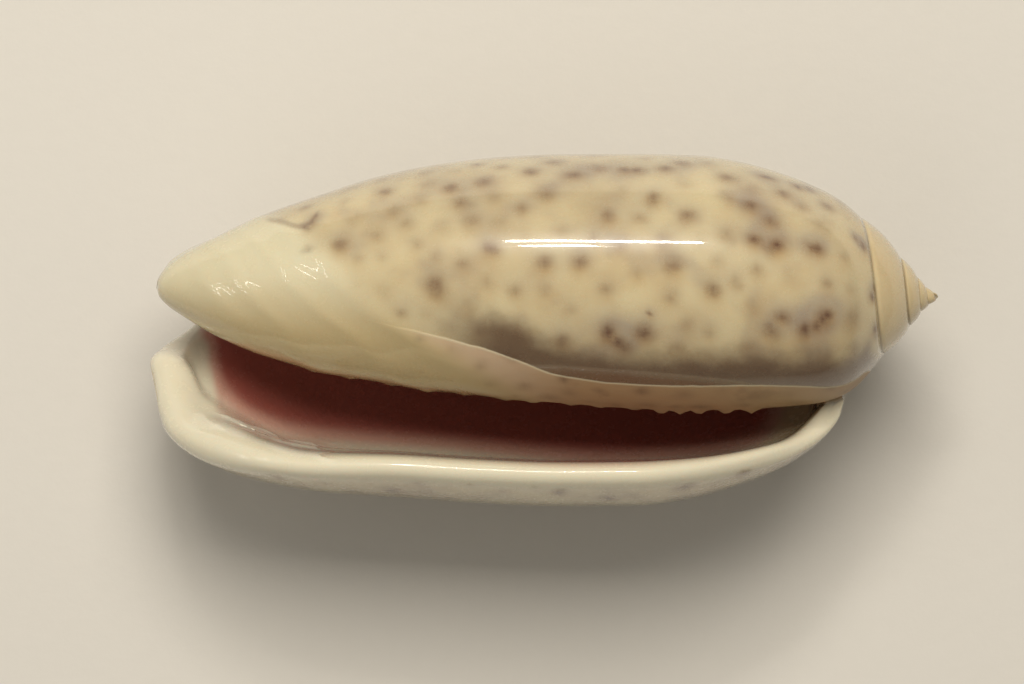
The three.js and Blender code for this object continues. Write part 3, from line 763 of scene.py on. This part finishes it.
class ShellLook(Nodes):
    """The shell's material: each method lays its zones over what the one before gives."""

    # The white layer's colour, brightened at its edge as a painted highlight.
    layer_white_and_highlight = (0.82, 0.79, 0.68)
    grain_tint = (0.95, 0.9, 0.8)

    def __init__(self, material, colours):
        super().__init__(material)
        self.at = self.add("TexCoord").outputs["Object"]
        split = self.add("SeparateXYZ")
        self.link(self.at, split.inputs[0])
        self.x, self.y = split.outputs[0], split.outputs[1]
        self.colours = {key: tuple(getattr(colours, key)) for key in ShellColours.__annotations__}
        self.clouds = self.noise(self.at, 160, 3)
        self.grain = self.noise(self.at, 1500, 5, 0.6)
        self.growth = self.noise(self.at, 260, 4, 0.6, (0.12, 1, 1))
        self.ragged = self.math("SUBTRACT", self.noise(self.at, 900, 4, 0.65), 0.5)
        self.wavy = self.math("SUBTRACT", self.noise(self.at, 420, 3), 0.5)
        broken = self.plus(self.times(self.ragged, 1.4), 1.0)
        self.mark = self.times(self.zone("mark"), broken, True)
        self.ochre = self.times(self.zone("ochre"), broken, True)
        # The edges of the glaze and of the white layer in mm, made a little uneven.
        self.glaze_edge = self.plus(self.zone("glaze_edge"), self.times(self.wavy, 0.35))
        self.on_glaze = self.zone("glaze")
        layer = self.plus(self.zone("layer_edge"), self.times(self.wavy, 0.45))
        self.layer = self.plus(layer, self.times(self.ragged, 0.2))
        self.groove = self.range(self.zone("groove_gap"), 0.12, 0.01)

    def paint(self, base, amount, strength, key):
        """Lays one of the shell's colours over the base, as far as the amount says."""
        return self.mix(self.times(amount, strength), base, self.colours[key])

    def spotted_body(self):
        """Cream with warmer clouds, the grey veil and mottling, and the brown spots with ochre."""
        c = self.colours
        base = self.mix(self.range(self.clouds, 0.35, 0.68), c["body"], c["body_warm"])
        base = self.paint(base, self.range(self.growth, 0.5, 0.75), 0.15, "callus")
        base = self.paint(base, self.range(self.clouds, 0.2, 0.7, 0.35, 0.85), self.zone("haze"), "haze")
        mottle = self.range(self.noise(self.at, 330, 2), 0.5, 0.72, 0.0, 0.3)
        base = self.mix(mottle, base, c["haze"])
        base = self.paint(base, self.ochre, 0.6, "ochre")
        base = self.paint(base, self.math("POWER", self.mark, 1.25), 0.95, "spot")
        return self.paint(base, self.zone("spire"), 0.8, "spire")

    def beside_aperture(self, base):
        """The brown band above the glaze, pigment and painted shade, the matte glaze over it, and its
        pale seam.
        """
        c, edge = self.colours, self.glaze_edge
        blurred = self.plus(self.zone("glaze_edge"), self.times(self.wavy, 2.2))
        # Pigment and painted shade: a brown band above the glaze, on the body's low side.
        pigment_and_painted_shade = self.times(self.range(blurred, -3.9, -1.2), self.range(self.x, -0.0075, -0.0025))
        base = self.paint(base, pigment_and_painted_shade, 0.92, "pigment_and_painted_shade")
        glaze = self.paint(c["glaze"], self.range(self.wavy, 0.06, 0.22), 0.3, "spot")
        glaze = self.mix(self.range(self.x, 0.003, -0.003), glaze, c["glaze_pale"])
        glaze = self.paint(glaze, self.zone("mark"), 0.8, "spot")
        covered = self.times(self.range(edge, -0.05, 0.06), self.on_glaze)
        base = self.mix(self.times(covered, 0.9), base, glaze)
        seam = self.times(self.range(edge, -0.1, 0.02), self.range(edge, 0.2, 0.08))
        return self.paint(base, self.times(seam, self.on_glaze), 0.5, "callus")

    def folded_tip(self, base):
        """The white callus, with painted shade on its low side, and the thin mark at its upper end."""
        c = self.colours
        callus = self.mix(self.range(self.clouds, 0.3, 0.75, 0.0, 0.3), c["callus"], c["body"])
        # Painted shade on the callus's low side, by its height along Y.
        callus = self.paint(callus, self.range(self.y, 0.0046, -0.001), 0.95, "callus_painted_shade")
        callus = self.mix(self.range(self.mark, 0.1, 0.9, 0.0, 0.85), callus, c["spot"])
        base = self.mix(self.zone("callus"), base, callus)
        thin_gap = self.plus(self.zone("thin_gap"), self.times(self.wavy, 0.25))
        thin = self.range(self.math("ABSOLUTE", thin_gap), 0.3, 0.02)
        return self.paint(base, self.times(thin, self.zone("thin")), 0.45, "spot")

    def lip_and_inside(self, base):
        """The white lip, the pink to dark inside, and the white layer's edge with a painted highlight
        and pink above it.
        """
        c, layer = self.colours, self.layer
        clean = self.math("SUBTRACT", 1.0, self.range(self.zone("mark"), 0.1, 0.6))
        base = self.paint(base, self.zone("light"), clean, "lip")
        base = self.mix(self.range(self.zone("inside"), 0.0, 0.5), base, c["inside_pale"])
        base = self.mix(self.range(self.zone("inside"), 0.4, 1.0), base, c["inside_deep"])
        above = self.times(self.range(layer, -1.1, -0.1), self.range(layer, 0.02, -0.03))
        base = self.paint(base, self.times(above, self.zone("layer")), 0.4, "inside_pale")
        # The white layer's edge on the lip's side: its white with a painted highlight along it.
        rim = self.times(self.range(layer, -0.02, 0.04), self.range(layer, 0.7, 0.1))
        rim = self.times(rim, self.zone("layer"))
        return self.mix(self.times(rim, 0.7), base, self.layer_white_and_highlight)

    def dark_suture_and_grain(self, base):
        """The suture's channel made darker, and a fine grain over everything."""
        base = self.paint(base, self.groove, 0.55, "groove")
        fine = self.times(self.range(self.grain, 0.35, 0.7), 0.12)
        return self.mix(fine, base, self.grain_tint, "MULTIPLY")

    def steps(self, way):
        """The given normal with the small steps at the white layer's edge and at the glaze's."""
        layer_step = self.times(self.range(self.layer, -0.06, 0.06), self.zone("layer"))
        glaze_step = self.times(self.range(self.glaze_edge, -0.08, 0.08), self.on_glaze)
        return self.bump(glaze_step, 0.5, 0.0001, self.bump(layer_step, 0.35, 0.00008, way))


def shell_material(colours):
    material = bpy.data.materials.new("olive shell")
    look = ShellLook(material, colours)
    base = look.lip_and_inside(look.folded_tip(look.beside_aperture(look.spotted_body())))
    base = look.dark_suture_and_grain(base)
    outside = look.math("SUBTRACT", 1.0, look.zone("inside"))
    matte = look.times(look.times(look.range(look.glaze_edge, -0.05, 0.1), outside), look.on_glaze)
    rough = look.mix_value(look.groove, look.mix_value(matte, 0.24, 0.5), 0.6)
    rough = look.plus(rough, look.times(look.grain, 0.06))
    ripple = look.bump(look.clouds, 0.06, 0.0004, look.bump(look.growth, 0.05, 0.00025))
    ripple = look.bump(look.grain, 0.015, 0.00005, ripple)

    shader = look.add("BsdfPrincipled")
    look.feed(shader.inputs["Base Color"], base)
    look.feed(shader.inputs["Roughness"], rough)
    look.feed(shader.inputs["Normal"], look.steps(ripple))
    look.feed(shader.inputs["Coat Normal"], look.steps(look.bump(look.growth, 0.005, 0.00025)))
    look.feed(shader.inputs["Coat Weight"], look.mix_value(matte, 1.0, 0.08))
    shader.inputs["Coat Roughness"].default_value = 0.035
    shader.inputs["IOR"].default_value = 1.5
    shader.inputs["Subsurface Weight"].default_value = 0.18
    shader.inputs["Subsurface Radius"].default_value = (1.0, 0.55, 0.35)
    shader.inputs["Subsurface Scale"].default_value = 0.0012
    look.link(shader.outputs[0], look.add("OutputMaterial").inputs["Surface"])
    return material


def set_down(points, flat):
    """Moves the shell to the middle of the floor, and wears its lowest spot flat."""
    low, high = points.min(0), points.max(0)
    points = points - np.array([(low[0] + high[0]) / 2, (low[1] + high[1]) / 2, low[2] + flat])
    points[:, 2] = np.maximum(points[:, 2], 0)
    return points


class SHELL_OT_shell(bpy.types.Operator):
    """Grow the olive shell and paint its markings"""

    bl_idname = "olive_shell.shell"
    bl_label = "Olive shell"

    def execute(self, context):
        sizes, colours = context.scene.olive_sizes, context.scene.olive_colours
        points, faces, tags, inner_line = grow(
            sizes.columns, sizes.rows, sizes.wall / MM, sizes.lip_swell
        )
        covers = marks_of(points, tags, sizes.spot_seed, sizes.spot_spacing / MM)
        zones = zones_of(points, tags) | dict(zip(("mark", "ochre", "haze"), covers))
        side, turn, share = tags.T
        seen_line = inner_line[turn[inner_line] > SEEN_TURN]
        points = relax(points, faces, points[seen_line[::2]], *LINE_EVENED, side == OUTER)
        corner = points[(side == EDGE) & (turn > CORNER_TURN) & (share == 1)].mean(0)
        points = relax(points, faces, [corner], *CORNER_EVENED)
        points = set_down(points, sizes.rest_flat / MM)
        mesh = bpy.data.meshes.new("shell_surface")
        mesh.from_pydata((points * MM).tolist(), [], [list(map(int, f)) for f in faces])
        if mesh.validate():
            raise RuntimeError("the shell's surface has faces that can't be built")
        mesh.shade_smooth()
        for name, values in zones.items():
            layer = mesh.attributes.new(name, "FLOAT", "POINT")
            layer.data.foreach_set("value", np.asarray(values, np.float32))
        piece = bpy.data.objects.new("shell_surface", mesh)
        context.scene.collection.objects.link(piece)
        mesh.materials.append(shell_material(colours))
        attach(piece, "root")
        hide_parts("shell")
        return {"FINISHED"}


SHELL_MIDDLE = (0.002, 0.001, 0.010)
WARM, AMBER = (1.0, 0.95, 0.86), (1.0, 0.93, 0.82)
# The lamps: name, place, size, watts, tint, aimed at the shell or facing down, mirrored in it.
LAMPS = (
    ("soft_key", (0.01, 0.21, 0.39), (0.28, 0.2), 1.75, AMBER, True, False),
    ("tube_one", (-0.0085, 0.208, 0.25), (0.081, 0.010), 0.15, WARM, True, True),
    ("tube_two", (-0.029, 0.176, 0.25), (0.032, 0.008), 0.05, WARM, True, True),
    ("side_0", (-0.175, 0.11, 0.25), (0.003, 0.14), 0.02, WARM, False, True),
    ("side_1", (-0.205, 0.11, 0.25), (0.003, 0.14), 0.02, WARM, False, True),
    ("far_0", (-0.30, 0.03, 0.25), (0.006, 0.16), 0.035, WARM, False, True),
    ("far_1", (-0.34, 0.03, 0.25), (0.006, 0.16), 0.035, WARM, False, True),
    ("fill", (-0.25, -0.25, 0.35), (0.4, 0.4), 0.35, WARM, True, False),
)


def add_lamp(scene, name, at, size, energy, tint, aimed, mirrored):
    """A rectangular lamp. One that isn't mirrored leaves no highlight on the gloss."""
    light = bpy.data.lights.new(name, "AREA")
    light.shape = "RECTANGLE"
    light.size, light.size_y = size
    light.energy = energy
    light.color = tint
    lamp = bpy.data.objects.new(name, light)
    lamp.location = at
    if aimed:
        toward = Vector(SHELL_MIDDLE) - Vector(at)
        lamp.rotation_euler = toward.to_track_quat("-Z", "Y").to_euler()
    lamp.visible_glossy = mirrored
    scene.collection.objects.link(lamp)


def add_floor(scene, half=1.5):
    """A square pale floor that reaches the given length in metres from its middle."""
    mesh = bpy.data.meshes.new("floor")
    corners = [(-half, -half, 0), (half, -half, 0), (half, half, 0), (-half, half, 0)]
    mesh.from_pydata(corners, [], [(0, 1, 2, 3)])
    floor = bpy.data.objects.new("floor", mesh)
    scene.collection.objects.link(floor)
    material = bpy.data.materials.new("pale floor")
    n = Nodes(material)
    tone = tuple(scene.olive_colours.floor)
    fine = n.noise(n.add("TexCoord").outputs["Object"], 900, 4)
    shader = n.add("BsdfPrincipled")
    darker = tuple(0.8 * v for v in tone)
    n.feed(shader.inputs["Base Color"], n.mix(n.times(fine, 0.12), tone, darker))
    shader.inputs["Roughness"].default_value = 0.85
    n.feed(shader.inputs["Normal"], n.bump(fine, 0.15, 0.0002))
    n.link(shader.outputs[0], n.add("OutputMaterial").inputs["Surface"])
    mesh.materials.append(material)
    return floor


def add_camera(scene):
    """The camera straight above. The view is as wide as given at the shell's middle height."""
    height, wide = 0.45, 0.0648
    camera = bpy.data.cameras.new("camera")
    camera.sensor_width = 36
    camera.lens = camera.sensor_width * (height - SHELL_MIDDLE[2]) / wide
    camera.clip_end = 10
    eye = bpy.data.objects.new("camera", camera)
    eye.location = (-0.00196, -0.00077, height)
    scene.collection.objects.link(eye)
    scene.camera = eye


class SHELL_OT_stage(bpy.types.Operator):
    """Set up the pale floor, the soft lights and the camera straight above"""

    bl_idname = "olive_shell.stage"
    bl_label = "Stage"

    def execute(self, context):
        scene = context.scene
        floor = add_floor(scene)
        for lamp in LAMPS:
            add_lamp(scene, *lamp)
        world = bpy.data.worlds.new("studio")
        world.use_nodes = True
        background = world.node_tree.nodes["Background"]
        background.inputs["Color"].default_value = (0.9, 0.85, 0.76, 1)
        background.inputs["Strength"].default_value = 0.22
        scene.world = world
        scene.view_settings.view_transform = "Standard"
        add_camera(scene)
        return {"FINISHED"}


class SHELL_PT_panel(bpy.types.Panel):
    """The steps that make the scene"""

    bl_label = "Olive shell"
    bl_idname = "SHELL_PT_panel"
    bl_space_type = "VIEW_3D"
    bl_region_type = "UI"
    bl_category = "Shell"

    def draw(self, context):
        for group in (context.scene.olive_sizes, context.scene.olive_colours):
            column = self.layout.column()
            for key in group.__annotations__:
                column.prop(group, key)
        for step in STEPS:
            self.layout.operator(step.bl_idname)


STEPS = (SHELL_OT_shell, SHELL_OT_stage)
CLASSES = (ShellSizes, ShellColours, *STEPS, SHELL_PT_panel)


def register():
    for cls in CLASSES:
        bpy.utils.register_class(cls)
    bpy.types.Scene.olive_sizes = bpy.props.PointerProperty(type=ShellSizes)
    bpy.types.Scene.olive_colours = bpy.props.PointerProperty(type=ShellColours)


def unregister():
    del bpy.types.Scene.olive_colours
    del bpy.types.Scene.olive_sizes
    for cls in reversed(CLASSES):
        bpy.utils.unregister_class(cls)


def main():
    register()
    bpy.ops.olive_shell.shell()
    bpy.ops.olive_shell.stage()


if __name__ == "__main__":
    main()
